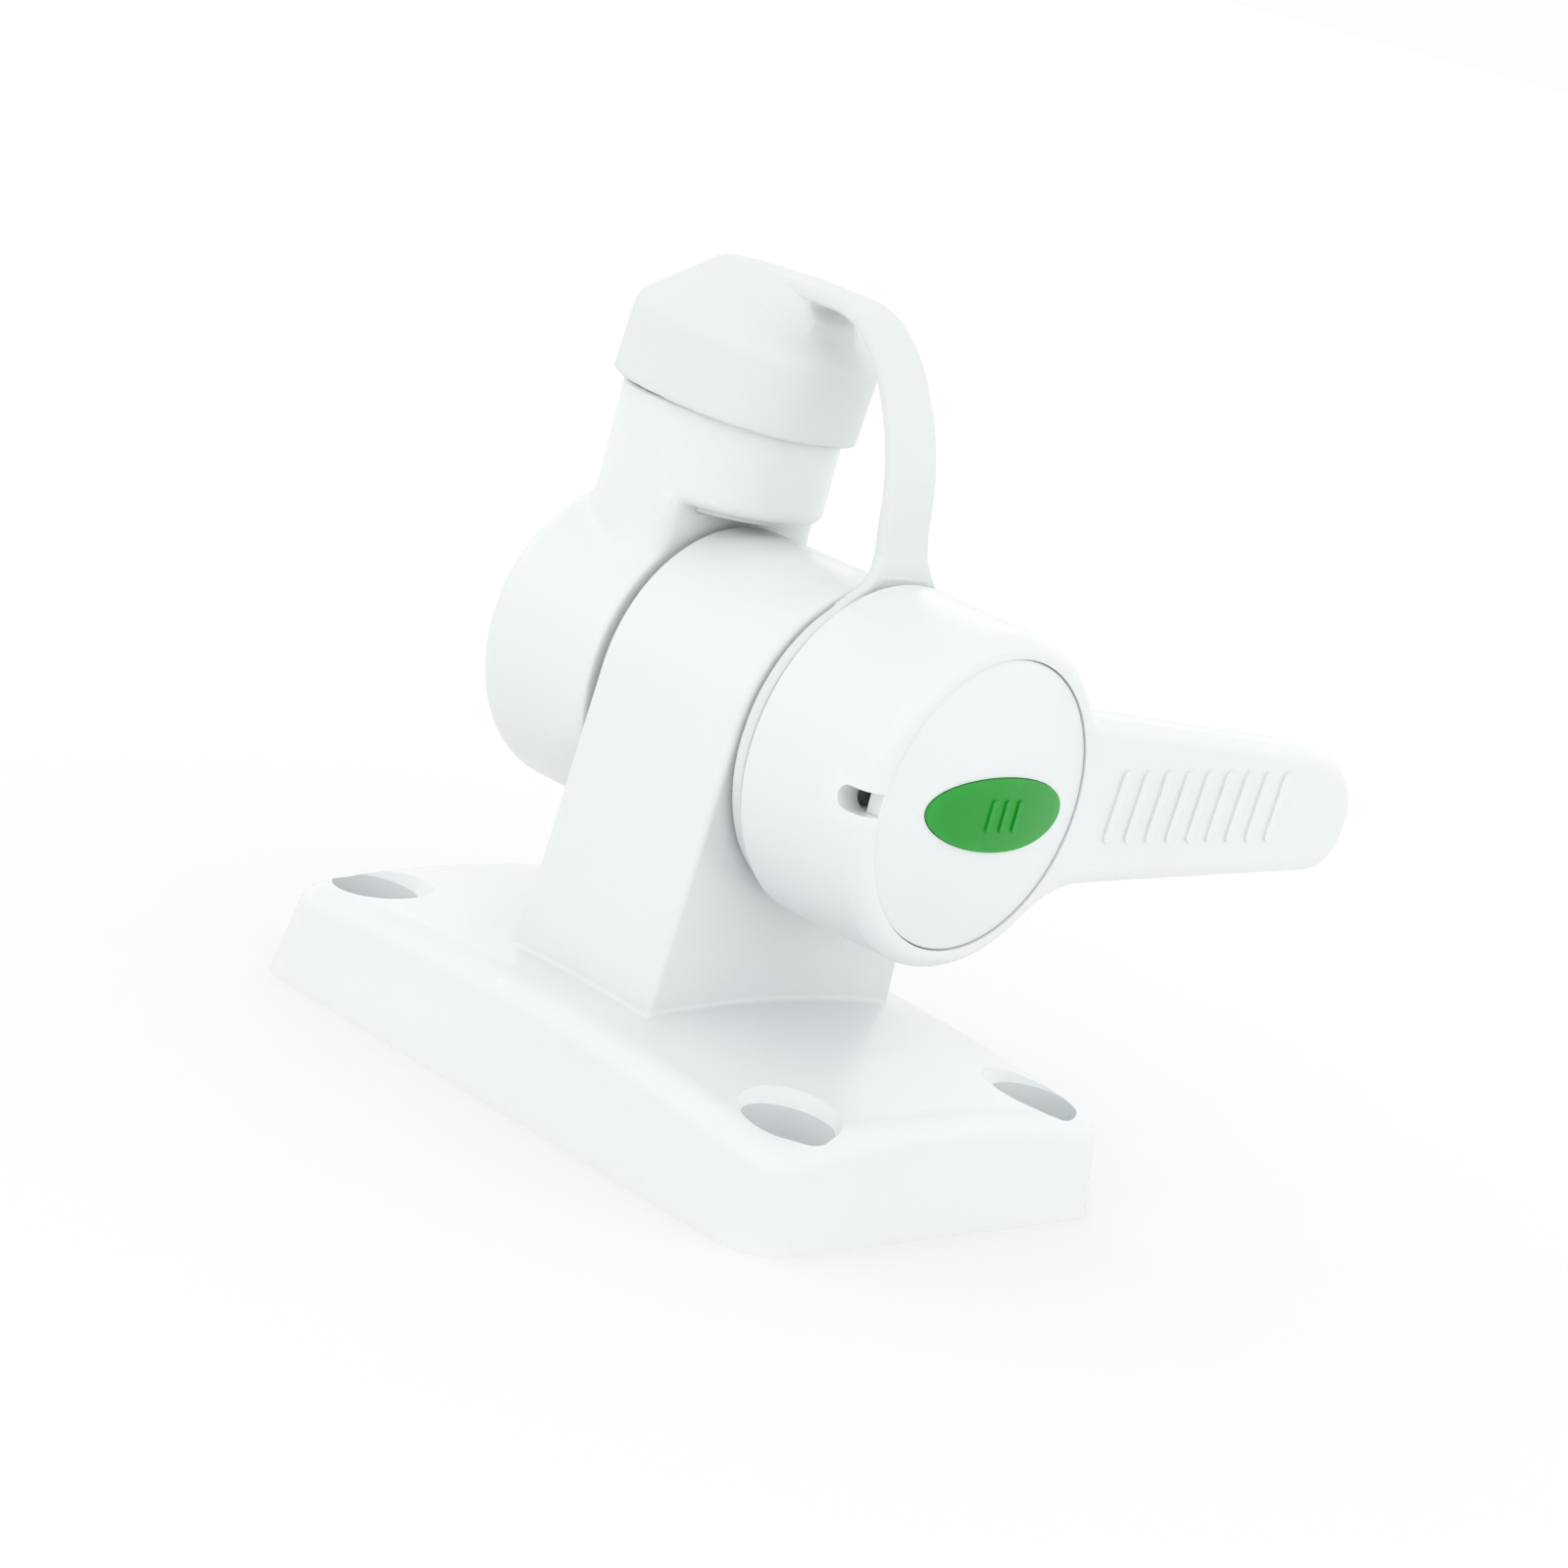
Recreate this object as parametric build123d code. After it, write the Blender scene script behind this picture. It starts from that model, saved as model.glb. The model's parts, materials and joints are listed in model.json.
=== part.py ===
"""Antenna ratchet mount: base with a round head, swinging arm, locking lever and a tethered stud cap.

Millimetres. The origin is the centre of the base's underside, +Z is up. The base's long side lies
along Y. The pivot runs along Y at head_height, with the arm on its +Y side and the lever knob on
its -Y side. The lever rests along +X, released, and a quarter turn up draws the arm into the teeth.
"""

import os

from build123d import *
from math import cos, degrees, radians, sin, sqrt, tan

# Base plate
base_width = 66.0
base_length = 92.0
base_corner_radius = 6.7
base_draft = 9.0
base_centre_height = 16.8
crown_radius_across = 195.0
crown_radius_along = 375.0
base_edge_radius = 3.8
relief_depth = 1.2
relief_rim = 5.0
relief_web = 12.0

# Mounting screw holes
hole_spacing_x = 45.5
hole_spacing_y = 75.0
screw_bore_radius = 3.3
counterbore_radius = 5.6
counterbore_floor = 7.5
mouth_radius = 6.3
mouth_depth = 0.8

# Pedestal and head
pedestal_thickness = 24.0
pedestal_foot_width = 46.0
head_height = 50.4
head_radius = 20.0
head_edge_radius = 0.8
foot_fillet = 0.6

# Ratchet teeth
tooth_count = 24
tooth_height = 0.7
tooth_inner_radius = 11.6
tooth_outer_radius = 17.0
tooth_root_inset = 0.2
tooth_release = 0.15
tooth_mesh_clearance = 0.05
tooth_groove_clearance = 0.4
tooth_groove_depth = 0.5
tooth_backing = 0.6

# Arm
seam_gap = 1.1
arm_radius = 20.3
arm_thickness = 20.2
arm_front_edge_radius = 0.5
arm_back_edge_radius = 3.0
neck_blend_radius = 12.0
neck_edge_radius = 2.5
neck_lean = 2.6
neck_top_drop = 1.4
boss_setback = 6.5
boss_radius = 14.2
boss_height = 11.7
boss_underside_gap = 1.8
boss_bottom_radius = 1.3
boss_top_radius = 0.4

# Threaded stud and its connector
stud_radius = 12.7
stud_pitch = 25.4 / 14
thread_depth = 1.0
stud_length = 11.0
stud_nose_length = 2.4
stud_nose_radius = 9.6
stud_spigot_radius = 11.0
stud_spigot_length = 12.5
stud_undercut_radius = 11.7
stud_undercut_length = 1.6
stud_bore_radius = 7.6
stud_floor = 4.0
spigot_clearance = 0.05
seal_section_radius = 0.55
seal_clearance = 0.05
connector_wall = 2.0
connector_length = 17.0
connector_recess = 0.6
insulator_length = 8.0
insulator_base_gap = 2.0
contact_radius = 1.5
contact_bore_radius = 0.7
contact_bore_depth = 5.0
contact_length = 10.3
fit_clearance = 0.05
cable_bore_radius = 4.0
cable_exit_drop = 4.5
grommet_flange_radius = 5.2
grommet_flange_thickness = 1.2
grommet_recess_depth = 2.4
grommet_length = 4.4
grommet_bore_radius = 2.6

# Clamp bolt and its washers
bolt_radius = 5.0
bolt_thread_radius = 4.0
bolt_flat_width = 8.2
running_clearance = 0.08
bolt_head_width = 17.0
bolt_head_thickness = 6.6
bolt_head_trim_radius = 9.5
bolt_recess_radius = 11.6
bolt_recess_depth = 9.0
bolt_washer_radius = 10.8
bolt_washer_thickness = 1.6
washer_bore_clearance = 0.15
face_clearance = 0.03
flat_length = 11.4
flat_key_end = 1.2
bolt_chamfer = 0.6

# Release spring and its seat
spring_pocket_radius = 9.0
spring_pocket_depth = 9.0
spring_wire_radius = 0.7
spring_coil_radius = 6.9
spring_turns = 4
spring_seat_radius = 8.6
spring_seat_thickness = 0.9

# Front boss, ring of the cap, thrust washer and stop pin
front_boss_radius = 16.8
front_boss_length = 4.2
thrust_washer_radius = 10.8
thrust_washer_bore_radius = 5.2
thrust_washer_thickness = 0.9
ring_clearance = 0.15
ring_flange_radius = 20.0
ring_spigot_radius = 19.0
ring_pedestal_gap = 0.8
ring_flange_thickness = 1.85
ring_length = 3.2
ring_edge_radius = 0.4
ring_tab_height = 1.6
stop_pin_radius = 1.5
stop_pin_circle = 13.4
stop_pin_depth = 4.0
stop_pin_angle = 225.0
stop_slot_clearance = 0.2
stop_slot_depth = 3.2

# Lever knob
knob_radius = 21.0
knob_back_radius = 21.3
knob_back_gap = 3.6
knob_thickness = 19.2
knob_front_edge_radius = 2.4
knob_back_edge_radius = 0.5
knob_recess_radius = 19.2
knob_recess_depth = 1.6
lever_reach = 79.1
lever_taper = 4.2
lever_nose_length = 14.2
lever_nose_height = 9.3
lever_nose_drop = 1.4
lever_tip_drop = 9.5
lever_root_drop = 11.3
lever_thickness = 5.4
lever_edge_radius = 1.4
lever_top_blend = 2.0
lever_bottom_blend = 15.0
lever_tip_radius = 6.0
rib_count = 9
rib_width = 1.5
rib_length = 9.4
rib_pitch = 4.3
rib_start = 26.0
rib_height = 0.35
rib_slant = 3.5
lever_turn_angle = 90.0

# Threaded insert, stop washer and stop screw
insert_width = 15.0
insert_length = 7.6
insert_floor = 2.6
insert_bore_clearance = 0.06
thread_clearance_radius = 4.5
stop_washer_radius = 7.0
stop_washer_thickness = 1.0
bolt_end_proud = 0.4
stop_screw_radius = 2.4
stop_screw_length = 9.0
stop_screw_head_radius = 4.2
stop_screw_head_thickness = 2.2
stop_screw_socket_radius = 1.9
stop_screw_socket_depth = 1.3
stop_screw_tip_gap = 1.0

# Cover disc, its pocket, pry slot and badge
cover_radius = 18.1
cover_clearance = 0.15
cover_dome = 3.4
cover_plate_thickness = 1.9
cover_front_inset = 0.3
cover_skirt_outer_radius = 17.3
cover_skirt_thickness = 2.0
cover_skirt_length = 2.0
cover_ledge_width = 0.6
cover_pocket_depth = 6.2
pry_slot_width = 2.9
pry_slot_length = 4.6
badge_half_length = 12.3
badge_half_height = 4.6
badge_thickness = 0.9
badge_proud = 0.3
badge_clearance = 0.1
bar_count = 3
bar_width = 0.8
bar_length = 4.0
bar_pitch = 2.4
bar_height = 0.25

# Cap and strap
cap_width = 30.2
cap_corner_radius = 13.3
cap_side_height = 9.8
cap_shoulder_height = 7.8
cap_top_width = 13.0
cap_top_corner_radius = 4.7
cap_shoulder_edge_radius = 3.0
cap_top_edge_radius = 2.5
cap_rim_edge_radius = 0.3
cap_tilt_forward = 3.7
cap_tilt_side = 1.9
cap_rim_drop = 0.25
cap_lip_clearance = 0.15
cap_lip_gap = 0.35
cap_bore_clearance = 0.25
cap_crown_depth = 4.4
cap_crown_radius = 8.2
tongue_width = 11.4
tongue_thickness = 1.9
tongue_proud = 0.3
tongue_reach = 14.6
tongue_root = 2.0
tongue_edge_radius = 0.5
strap_width = 8.6
strap_thickness = 1.6
strap_gap = 0.1
strap_upper_steps = ((-5.0, -1.5), (-13.5, -12.0))
strap_lower_step = (2.0, 9.1)
strap_foot_shift = 0.75
strap_foot_lean = 0.3

# Places that follow from the sizes above
pedestal_back = pedestal_thickness / 2
pedestal_front = -pedestal_thickness / 2
tooth_plane = pedestal_back - tooth_root_inset
lock_travel = tooth_height + tooth_release - tooth_mesh_clearance
arm_front = pedestal_back + seam_gap
arm_back = arm_front + arm_thickness
boss_y = arm_front + boss_setback
boss_bottom = head_height + head_radius + boss_underside_gap
boss_top = boss_bottom + boss_height
stud_top = boss_top + stud_length
stud_bottom = boss_top - stud_spigot_length
connector_top = stud_top - connector_recess
connector_bottom = connector_top - connector_length
connector_radius = stud_bore_radius - fit_clearance
insulator_radius = connector_radius - connector_wall - fit_clearance
insulator_bottom = connector_bottom + insulator_base_gap
contact_bottom = insulator_bottom + insulator_length - contact_length
cable_exit_z = stud_bottom - cable_exit_drop
bolt_recess_floor = arm_back - bolt_recess_depth
bolt_washer_back = bolt_recess_floor + face_clearance + bolt_washer_thickness
bolt_head_front = bolt_washer_back + face_clearance
grommet_seat = arm_back - grommet_recess_depth
grommet_flange_front = grommet_seat + face_clearance
grommet_flange_back = grommet_flange_front + grommet_flange_thickness
grommet_inner_end = grommet_flange_front - grommet_length
spring_floor = pedestal_back - spring_pocket_depth
spring_seat_front = arm_front - face_clearance - spring_seat_thickness
front_boss_end = pedestal_front - front_boss_length
ring_back = pedestal_front - ring_pedestal_gap
ring_front = ring_back - ring_length
ring_flange_front = ring_back - ring_flange_thickness
knob_back = pedestal_front - knob_back_gap
knob_front = knob_back - knob_thickness
knob_recess_floor = knob_back - knob_recess_depth
lever_back = knob_front + lever_thickness
cover_pocket_floor = knob_front + cover_pocket_depth
cover_face = knob_front + cover_front_inset
cover_back = cover_face + cover_plate_thickness
insert_end = knob_recess_floor - insert_floor
insert_front = insert_end - insert_length
bolt_end = insert_front - bolt_end_proud
cap_bottom = boss_top - cap_rim_drop
cap_height = cap_side_height + cap_shoulder_height
cap_place = Pos(0, boss_y, cap_bottom) * Rot(X=cap_tilt_forward, Y=cap_tilt_side)
tongue_top = cap_bottom + cap_height + tongue_proud
tongue_end = boss_y - tongue_reach
dome_radius = (cover_radius**2 + cover_dome**2) / (2 * cover_dome)
dome_centre_y = cover_face - cover_dome + dome_radius


def bar_y(radius, y_low, y_high, x=0.0, z=head_height):
    """A round bar along Y between two planes."""
    return Pos(x, (y_low + y_high) / 2, z) * Rot(X=90) * Cylinder(radius, y_high - y_low)


def tube_y(outer, inner, y_low, y_high):
    """A round tube along the pivot."""
    return bar_y(outer, y_low, y_high) - bar_y(inner, y_low - 1, y_high + 1)


def bar_z(radius, z_low, z_high, x=0.0, y=0.0):
    """A round bar along Z between two heights."""
    return Pos(x, y, (z_low + z_high) / 2) * Cylinder(radius, z_high - z_low)


def prism_y(sketch, y_low, y_high):
    """A sketch drawn as (X, Z), made solid between two planes along Y."""
    plane = Plane(origin=(0, y_high, 0), x_dir=(1, 0, 0), z_dir=(0, -1, 0))
    return extrude(plane * sketch, y_high - y_low)


def box_between(low, high):
    """A box from its lowest to its highest corner."""
    size = [b - a for a, b in zip(low, high)]
    centre = [(a + b) / 2 for a, b in zip(low, high)]
    return Pos(*centre) * Box(*size)


def edges_at_y(part, y, tolerance=1e-3):
    """The edges that lie wholly in one plane across Y."""
    found = []
    for edge in part.edges():
        box = edge.bounding_box()
        if abs(box.min.Y - y) < tolerance and abs(box.max.Y - y) < tolerance:
            found.append(edge)
    return ShapeList(found)


def edges_at_z(part, z, tolerance=1e-3):
    """The edges that lie wholly at one height."""
    found = []
    for edge in part.edges():
        box = edge.bounding_box()
        if abs(box.min.Z - z) < tolerance and abs(box.max.Z - z) < tolerance:
            found.append(edge)
    return ShapeList(found)


def crown_height(x, y):
    """Height of the base's crowned top above a point of its plan."""
    drop_across = crown_radius_across - sqrt(crown_radius_across**2 - x * x)
    radius = crown_radius_along - drop_across
    return base_centre_height - crown_radius_along + sqrt(radius**2 - y * y)


def crown():
    """The barrel whose top is the base's crowned surface."""
    axis_z = base_centre_height - crown_radius_along
    reach = base_width
    rim_z = crown_radius_along - crown_radius_across + sqrt(crown_radius_across**2 - reach * reach)
    arc = ThreePointArc((-reach, -rim_z), (0, -crown_radius_along), (reach, -rim_z))
    sides = Polyline((reach, -rim_z), (reach, 0), (-reach, 0), (-reach, -rim_z))
    profile = Plane.XZ * make_face(arc + sides)
    return Pos(0, 0, axis_z) * revolve(profile, Axis.X)


def tooth_ring(surface_y, backing_y):
    """A ring of face teeth between its toothed face and a flat back.

    Each flank is a plane through the pivot, so two such rings mesh along their whole width.
    """
    steps = 2 * tooth_count
    inner_share = tooth_inner_radius / tooth_outer_radius
    inner, outer, inner_back, outer_back = [], [], [], []
    for step in range(steps):
        angle = radians(360.0 * step / steps)
        rise = tooth_height if step % 2 else 0.0
        direction = (cos(angle), sin(angle))
        for radius, height, face, back in (
            (tooth_inner_radius, rise * inner_share, inner, inner_back),
            (tooth_outer_radius, rise, outer, outer_back),
        ):
            x = radius * direction[0]
            z = head_height + radius * direction[1]
            face.append(Vector(x, surface_y + height, z))
            back.append(Vector(x, backing_y, z))
    faces = []
    for step in range(steps):
        after = (step + 1) % steps
        for ring in (
            (inner[step], outer[step], outer[after], inner[after]),
            (outer[step], outer_back[step], outer_back[after], outer[after]),
            (inner[step], inner[after], inner_back[after], inner_back[step]),
            (inner_back[step], inner_back[after], outer_back[after], outer_back[step]),
        ):
            faces.append(Face(Wire.make_polygon(ring, close=True)))
    return Solid(Shell(faces))


def flatted_bar(radius, flat_width, y_low, y_high):
    """A round bar along the pivot with two flats across X."""
    reach = radius + 1
    limit = box_between(
        (-flat_width / 2, y_low, head_height - reach), (flat_width / 2, y_high, head_height + reach)
    )
    return bar_y(radius, y_low, y_high) & limit


def base_plate():
    """Drafted plate with a crowned top and a shallow relief either side of a web underneath."""
    outline = RectangleRounded(base_width, base_length, base_corner_radius)
    block = extrude(outline, base_centre_height + 1, taper=base_draft)
    plate = block & crown()
    top_edges = [edge for edge in plate.edges() if edge.center().Z > base_centre_height / 2]
    rim_edges = [edge for edge in top_edges if edge.bounding_box().size.Z < crown_drop_limit()]
    plate = fillet(rim_edges, base_edge_radius)
    relief_length = (base_length - relief_web) / 2 - relief_rim
    relief_width = base_width - 2 * relief_rim
    for side in (-1, 1):
        pocket = RectangleRounded(relief_width, relief_length, base_corner_radius - relief_rim / 2)
        place = Pos(0, side * (relief_web + relief_length) / 2, 0)
        plate -= place * extrude(pocket, relief_depth)
    for x, y in hole_places():
        plate += bar_z(counterbore_radius + relief_rim / 2, 0, relief_depth + 1, x, y)
    return plate


def crown_drop_limit():
    """The most that the crown's height changes along one edge of the plate."""
    return crown_height(0, 0) - crown_height(base_width / 2, base_length / 2)


def hole_places():
    """The four mounting holes' centres."""
    return [(sx * hole_spacing_x / 2, sy * hole_spacing_y / 2) for sx in (-1, 1) for sy in (-1, 1)]


def screw_hole(x, y):
    """Through bore, counterbore and flared mouth of one mounting hole."""
    surface = crown_height(x, y)
    bore = bar_z(screw_bore_radius, -1, surface, x, y)
    counterbore = bar_z(counterbore_radius, counterbore_floor, surface + 1, x, y)
    flare = mouth_radius - counterbore_radius
    mouth_height = 3 * mouth_depth
    mouth_top_radius = counterbore_radius + flare * mouth_height / mouth_depth
    mouth = Cone(counterbore_radius, mouth_top_radius, mouth_height)
    return bore + counterbore + Pos(x, y, surface - mouth_depth + mouth_height / 2) * mouth


def pedestal():
    """Column with tapered sides that run tangent into the round head."""
    head = Pos(0, head_height) * Circle(head_radius)
    foot = Pos(0, relief_depth + 2) * Rectangle(pedestal_foot_width, 1)
    profile = make_hull(head.edges() + foot.edges())
    column = prism_y(profile, pedestal_front, pedestal_back)
    edges = [e for e in column.edges() if e.center().Z > base_centre_height]
    return fillet(edges, head_edge_radius)


def make_base():
    """Base plate, pedestal, teeth and front boss in one moulding."""
    body = base_plate() + pedestal()
    foot_edges = []
    for edge in body.edges():
        box = edge.bounding_box()
        near_top = box.min.Z > base_centre_height - 2 and box.max.Z < base_centre_height + 0.5
        inside = max(abs(box.min.X), abs(box.max.X)) < pedestal_foot_width / 2 + 1
        on_column = max(abs(box.min.Y), abs(box.max.Y)) < pedestal_back + 0.5
        if near_top and inside and on_column:
            foot_edges.append(edge)
    body = fillet(foot_edges, foot_fillet)
    for x, y in hole_places():
        body -= screw_hole(x, y)
    groove_out = tooth_outer_radius + tooth_groove_clearance
    groove_in = tooth_inner_radius - tooth_groove_clearance
    groove_floor = pedestal_back - tooth_groove_depth
    body -= tube_y(groove_out, groove_in, groove_floor, pedestal_back + 1)
    body += tooth_ring(tooth_plane, groove_floor - tooth_backing)
    body += bar_y(front_boss_radius, front_boss_end, pedestal_front + 1)
    body -= bar_y(spring_pocket_radius, spring_floor, pedestal_back + 2)
    key_low = -flat_length
    body -= bar_y(bolt_radius + running_clearance, 0, spring_floor + 1)
    body -= flatted_bar(
        bolt_radius + running_clearance, bolt_flat_width + 2 * running_clearance, key_low, 1
    )
    body -= bar_y(thread_clearance_radius, front_boss_end - 1, key_low + 1)
    pin_x, pin_z = stop_pin_place()
    pin_hole_end = front_boss_end + stop_pin_depth
    body -= bar_y(stop_pin_radius, front_boss_end - 1, pin_hole_end, pin_x, pin_z)
    return body


def stop_pin_place():
    """The stop pin's centre on its circle round the pivot."""
    angle = radians(stop_pin_angle)
    return stop_pin_circle * cos(angle), head_height + stop_pin_circle * sin(angle)


def make_stop_pin():
    """Pin pressed into the front boss, which ends the lever's turn."""
    x, z = stop_pin_place()
    rear = front_boss_end + stop_pin_depth
    front = knob_recess_floor - stop_slot_depth + 2 * stop_slot_clearance
    return bar_y(stop_pin_radius, front, rear, x, z)


def neck_block():
    """The neck in front of the boss's axis, which leans back a little and has rounded front edges."""
    corner_z = head_height + sqrt(arm_radius**2 - boss_radius**2)
    outline = Pos(0, head_height) * Circle(arm_radius)
    height = boss_top - head_height
    outline += Pos(0, head_height + height / 2) * Rectangle(2 * boss_radius, height)
    corners = [v for v in outline.vertices() if abs(v.Y - corner_z) < 0.01]
    outline = fillet(corners, neck_blend_radius)
    top = boss_top - neck_top_drop
    top_front = arm_front + neck_lean
    corners = [(arm_front, head_height), (arm_front, boss_bottom), (top_front, top), (boss_y, top)]
    side = Polyline(*corners, (boss_y, head_height), close=True)
    reach = 2 * arm_radius
    wedge = extrude(Plane.YZ.offset(-reach / 2) * make_face(side), reach)
    neck = prism_y(outline, arm_front, boss_y) & wedge
    front_edges = []
    for edge in neck.edges():
        box = edge.bounding_box()
        sideways = min(abs(box.min.X), abs(box.max.X)) > boss_radius - 0.01
        if sideways and edge.center().Y < top_front and box.max.Y < boss_y - 1:
            front_edges.append(edge)
    return fillet(front_edges, neck_edge_radius)


def arm_body():
    """Disc, neck and stud boss as one outer form."""
    disc = bar_y(arm_radius, arm_front, arm_back)
    disc = fillet(edges_at_y(disc, arm_back), arm_back_edge_radius)
    disc = fillet(edges_at_y(disc, arm_front), arm_front_edge_radius)
    boss = bar_z(boss_radius, boss_bottom, boss_top, 0, boss_y)
    boss = fillet(edges_at_z(boss, boss_bottom), boss_bottom_radius)
    boss = fillet(edges_at_z(boss, boss_top), boss_top_radius)
    boss_back = boss_y + boss_radius
    behind = box_between(
        (-boss_radius, boss_y, head_height), (boss_radius, boss_back, boss_bottom + boss_bottom_radius)
    )
    column = behind & bar_z(boss_radius, head_height, boss_top, 0, boss_y)
    return disc + neck_block() + column + boss


def make_arm():
    """Arm with its teeth, bolt recess, stud socket and cable way."""
    arm = arm_body()
    arm -= bar_y(bolt_radius + running_clearance, arm_front - 1, arm_back)
    arm -= bar_y(bolt_recess_radius, bolt_recess_floor, arm_back + 1)
    groove_out = tooth_outer_radius + tooth_groove_clearance
    groove_in = tooth_inner_radius - tooth_groove_clearance
    groove_floor = arm_front + tooth_groove_depth + tooth_height
    arm -= tube_y(groove_out, groove_in, arm_front - 1, groove_floor)
    surface = tooth_plane + tooth_height + tooth_release
    arm += tooth_ring(surface, groove_floor + tooth_backing)
    arm -= bar_z(stud_spigot_radius + spigot_clearance, stud_bottom - fit_clearance, boss_top + 1, 0, boss_y)
    arm -= bar_z(cable_bore_radius, cable_exit_z, stud_bottom, 0, boss_y)
    arm -= bar_y(cable_bore_radius, boss_y, grommet_seat + 1, 0, cable_exit_z)
    seat_radius = grommet_flange_radius + fit_clearance
    arm -= bar_y(seat_radius, grommet_seat, boss_y + boss_radius + 1, 0, cable_exit_z)
    return arm


def make_stud():
    """Antenna stud: thread and nose outside, socket inside, with a spigot seated in the arm."""
    root = stud_radius - thread_depth
    flank_low = stud_pitch / 8
    flank_high = 3 * stud_pitch / 8
    thread_bottom = boss_top + stud_undercut_length
    nose_bottom = stud_top - stud_nose_length
    ridges = int((nose_bottom - thread_bottom) / stud_pitch)
    points = [(0, stud_bottom), (stud_spigot_radius, stud_bottom), (stud_spigot_radius, boss_top)]
    points += [(stud_undercut_radius, boss_top), (stud_undercut_radius, thread_bottom)]
    for ridge in range(ridges):
        centre = thread_bottom + (ridge + 0.5) * stud_pitch
        points += [(root, centre - flank_high), (stud_radius, centre - flank_low)]
        points += [(stud_radius, centre + flank_low), (root, centre + flank_high)]
    points += [(root, nose_bottom), (stud_nose_radius, stud_top), (0, stud_top)]
    profile = Plane.XZ * make_face(Polyline(*points, close=True))
    stud = Pos(0, boss_y, 0) * revolve(profile, Axis.Z)
    stud -= bar_z(stud_bore_radius, stud_bottom + stud_floor, stud_top + 1, 0, boss_y)
    return stud - bar_z(cable_bore_radius, stud_bottom - 1, stud_bottom + stud_floor + 1, 0, boss_y)


def make_stud_seal():
    """Sealing ring round the stud's foot, on the boss."""
    centre_radius = stud_undercut_radius + seal_clearance + seal_section_radius
    height = boss_top + seal_section_radius + seal_clearance
    return Pos(0, boss_y, height) * Torus(centre_radius, seal_section_radius)


def make_connector_body():
    """Outer shell of the coaxial socket."""
    shell = bar_z(connector_radius, connector_bottom, connector_top, 0, boss_y)
    return shell - bar_z(insulator_radius + fit_clearance, 0, connector_top + 1, 0, boss_y)


def make_connector_insulator():
    """Insulator disc that holds the centre contact in the shell."""
    top = insulator_bottom + insulator_length
    disc = bar_z(insulator_radius, insulator_bottom, top, 0, boss_y)
    return disc - bar_z(contact_radius + fit_clearance, 0, top + 1, 0, boss_y)


def make_connector_contact():
    """Centre contact of the coaxial socket."""
    top = contact_bottom + contact_length
    pin = bar_z(contact_radius, contact_bottom, top, 0, boss_y)
    return pin - bar_z(contact_bore_radius, top - contact_bore_depth, top + 1, 0, boss_y)


def make_cable_grommet():
    """Grommet in the cable's way out at the back of the arm, with its flange sunk in the arm."""
    plug_radius = cable_bore_radius - fit_clearance
    plug = bar_y(plug_radius, grommet_inner_end, grommet_flange_back, 0, cable_exit_z)
    flange = bar_y(grommet_flange_radius, grommet_flange_front, grommet_flange_back, 0, cable_exit_z)
    flange = fillet(edges_at_y(flange, grommet_flange_back), grommet_flange_thickness / 2)
    bore = bar_y(grommet_bore_radius, grommet_inner_end, grommet_flange_back, 0, cable_exit_z)
    return plug + flange - bore


def make_clamp_bolt():
    """Hexagon-head bolt with two flats that keep it from turning in the head."""
    head_back = bolt_head_front + bolt_head_thickness
    hexagon = Pos(0, head_height) * RegularPolygon(bolt_head_width / 2, 6, major_radius=False)
    head = prism_y(hexagon, bolt_head_front, head_back)
    corner_trim = bar_y(bolt_head_trim_radius, bolt_head_front, head_back)
    corner_trim = chamfer(edges_at_y(corner_trim, head_back), bolt_chamfer)
    shank = bar_y(bolt_radius, flat_key_end, bolt_head_front + 1)
    key_low = -flat_length + flat_key_end
    key = flatted_bar(bolt_radius, bolt_flat_width, key_low, flat_key_end + 1)
    thread = bar_y(bolt_thread_radius, bolt_end, key_low + 1)
    thread = chamfer(edges_at_y(thread, bolt_end), bolt_chamfer)
    bolt = (head & corner_trim) + shank + key + thread
    screw_hole_depth = stop_screw_length + stop_screw_tip_gap
    return bolt - bar_y(stop_screw_radius + fit_clearance, bolt_end - 1, bolt_end + screw_hole_depth)


def make_bolt_washer():
    """Washer under the bolt's head, in the arm's recess."""
    front = bolt_washer_back - bolt_washer_thickness
    return tube_y(bolt_washer_radius, bolt_radius + washer_bore_clearance, front, bolt_washer_back)


def make_spring_seat():
    """Washer on the arm's hub that the release spring pushes on."""
    back = spring_seat_front + spring_seat_thickness
    return tube_y(spring_seat_radius, bolt_radius + washer_bore_clearance, spring_seat_front, back)


def make_release_spring():
    """Coil that pushes the arm off the teeth when the lever is released."""
    low = spring_floor + spring_wire_radius + fit_clearance
    high = spring_seat_front - spring_wire_radius - fit_clearance
    path = Helix((high - low) / spring_turns, high - low, spring_coil_radius)
    section = Plane(origin=path @ 0, z_dir=path % 0) * Circle(spring_wire_radius)
    coil = sweep(section, path=path, is_frenet=True)
    return Pos(0, low, head_height) * Rot(X=-90) * coil


def make_thrust_washer():
    """Washer between the front boss and the knob."""
    back = front_boss_end - face_clearance
    return tube_y(thrust_washer_radius, thrust_washer_bore_radius, back - thrust_washer_thickness, back)


def make_cap_ring():
    """Soft collar of the cap's tether, round the front boss, with the strap's tab on top."""
    inner = front_boss_radius + ring_clearance
    flange = bar_y(ring_flange_radius, ring_flange_front, ring_back)
    flange = fillet(edges_at_y(flange, ring_back), ring_edge_radius)
    ring = flange + bar_y(ring_spigot_radius, ring_front, ring_back - ring_edge_radius)
    tab_top = head_height + ring_flange_radius + ring_tab_height
    ring += box_between(
        (-strap_width / 2, ring_flange_front, head_height + inner),
        (strap_width / 2, ring_back, tab_top),
    )
    return ring - bar_y(inner, ring_front - 1, ring_back + 1)


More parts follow.
